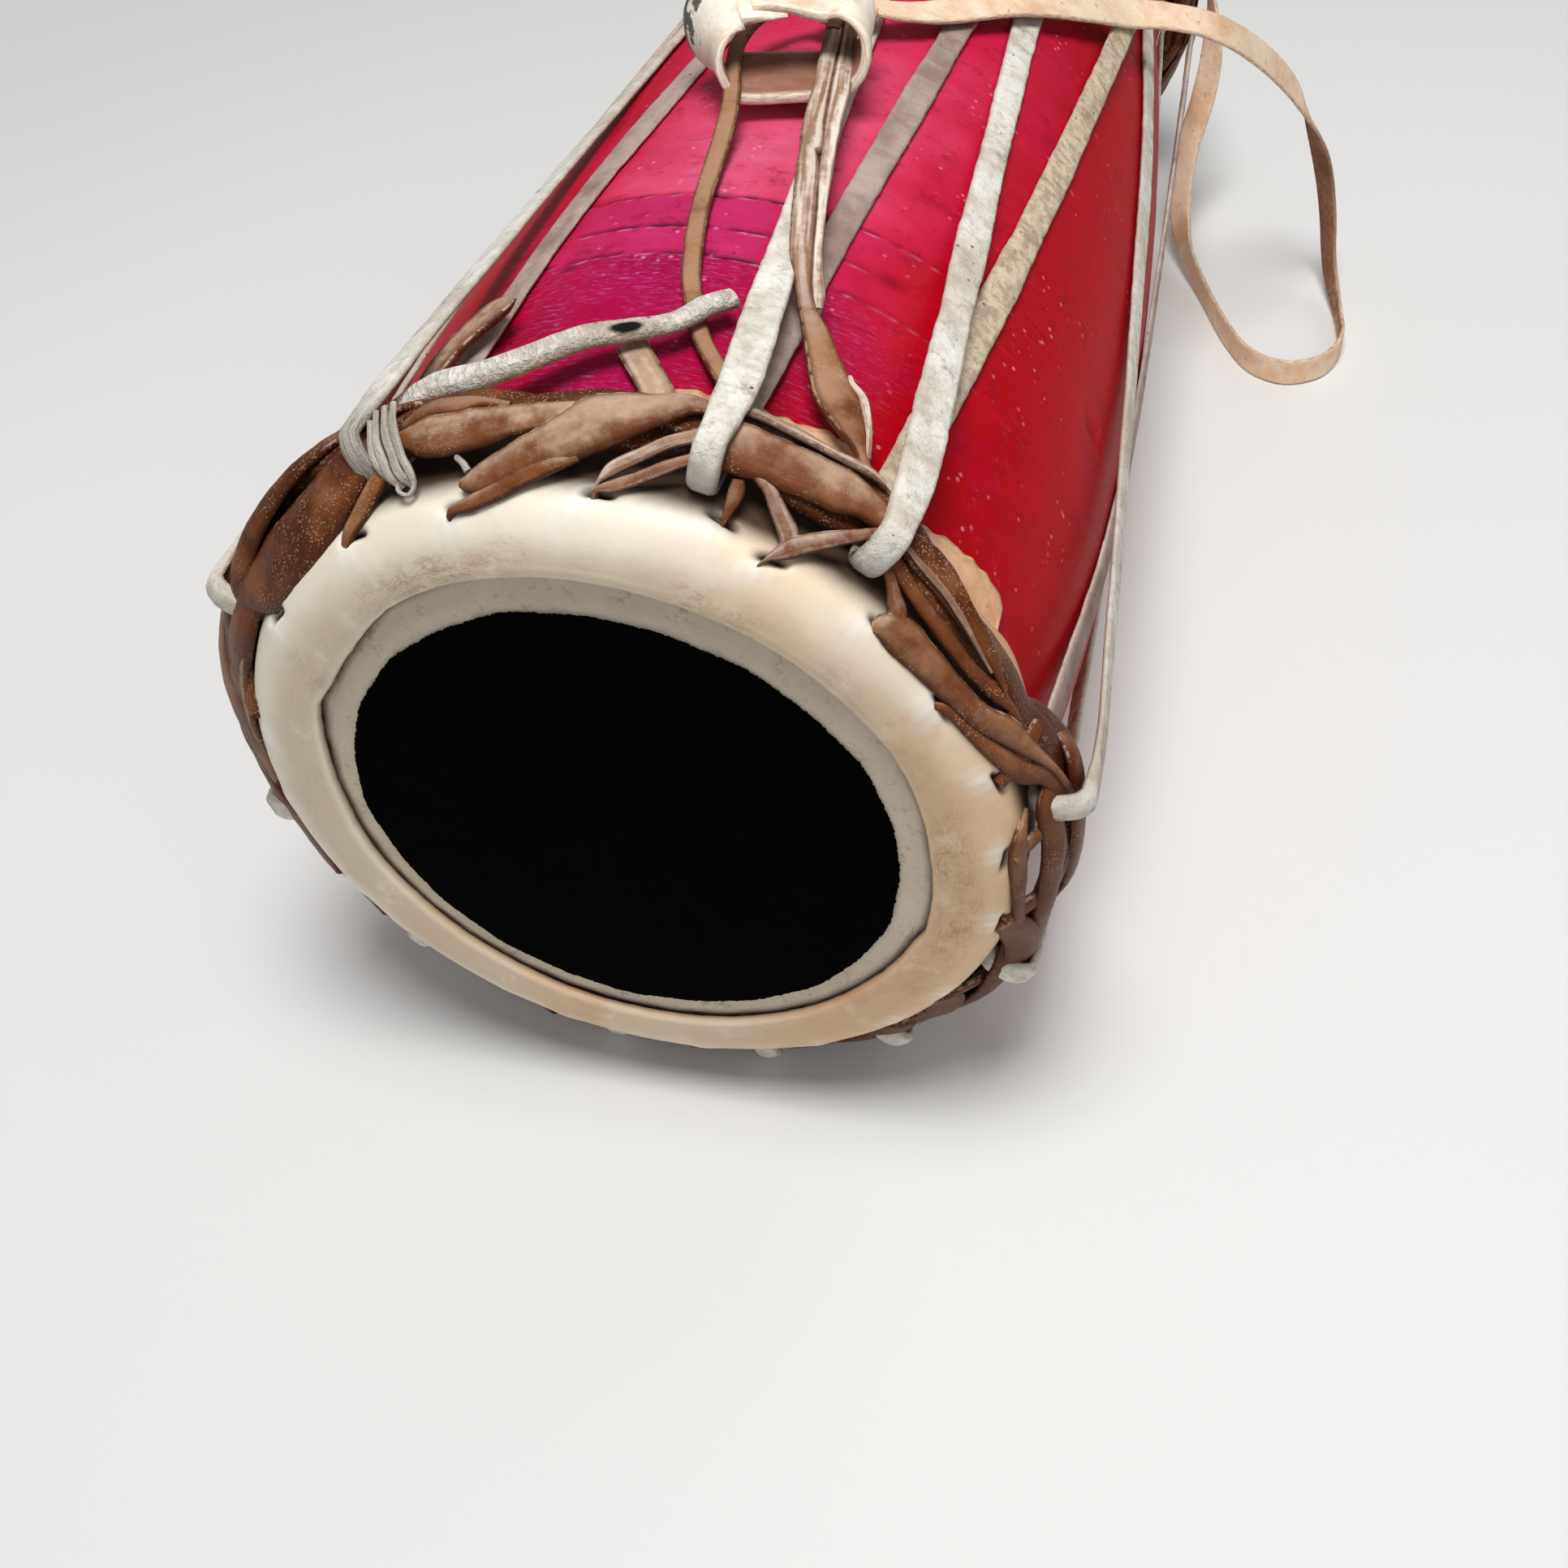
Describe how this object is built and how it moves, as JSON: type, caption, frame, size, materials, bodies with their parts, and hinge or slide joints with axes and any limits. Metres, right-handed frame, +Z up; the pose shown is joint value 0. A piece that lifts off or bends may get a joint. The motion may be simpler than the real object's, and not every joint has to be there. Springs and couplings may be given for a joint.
{
  "type": "madal",
  "caption": "Two-headed barrel hand drum of red lacquered wood with laced rawhide heads, black tuning paste, twisted thong hoops and a leather carrying strap.",
  "frame": {"origin": "on the ground, under the middle of the drum's bounding box, leaving out the free strap and lace tail", "axes": "+Z up, +Y along the drum from the large head to the small one, +X to the side that the strap falls on"},
  "size_m": [0.2459, 0.4794, 0.2049],
  "materials": {
    "lacquered_wood": "glossy crimson lacquer over turned wood",
    "ivory_skin": "smooth ivory rawhide with brown smudges",
    "grey_skin": "matt grey-cream drum skin",
    "brown_thong": "glossy brown rawhide thong",
    "white_thong": "rough suede-like white rawhide thong",
    "black_paste": "dry matt black tuning paste"
  },
  "bodies": {
    "drum": {"wooden_shell": "lacquered_wood", "large_head_skin": "grey_skin", "large_collar_skin": "ivory_skin", "large_hoop_strand_a": "brown_thong", "large_hoop_strand_b": "brown_thong", "large_hoop_stitching": "brown_thong", "small_head_skin": "grey_skin", "small_collar_skin": "ivory_skin", "small_hoop_strand_a": "brown_thong", "small_hoop_strand_b": "brown_thong", "small_hoop_stitching": "brown_thong", "tension_lace_01": "white_thong", "tension_lace_02": "white_thong", "tension_lace_03": "white_thong", "tension_lace_04": "white_thong", "tension_lace_05": "white_thong", "tension_lace_06": "white_thong", "tension_lace_07": "white_thong", "tension_lace_08": "white_thong", "tension_lace_09": "white_thong", "tension_lace_10": "white_thong", "tension_lace_11": "white_thong", "lace_knot": "white_thong", "lace_tail": "white_thong", "strap_far_tie": "ivory_skin", "carrying_strap": "ivory_skin"},
    "carrying_loop": {"carrying_loop": "brown_thong", "strap_ring": "ivory_skin", "strap_near_knot": "ivory_skin"},
    "large_head": {"large_tuning_paste": "black_paste"},
    "small_head": {"small_tuning_paste": "black_paste"}
  },
  "joints": [
    {"name": "carrying_loop_lift", "type": "hinge", "parent": "drum", "child": "carrying_loop", "pos_m": [0.0297, -0.19847, 0.17979], "axis": [0.9367, -0.015, -0.3499], "range_deg": [0, 45]},
    {"name": "large_head_give", "type": "slide", "parent": "drum", "child": "large_head", "axis": [0, 0.9991, -0.0429], "range_m": [0, 0.0015], "stiffness_N_per_m": 4000, "deforming": ["large_head_skin"]},
    {"name": "small_head_give", "type": "slide", "parent": "drum", "child": "small_head", "axis": [0, -0.9991, 0.0429], "range_m": [0, 0.0015], "stiffness_N_per_m": 4000, "deforming": ["small_head_skin"]}
  ]
}
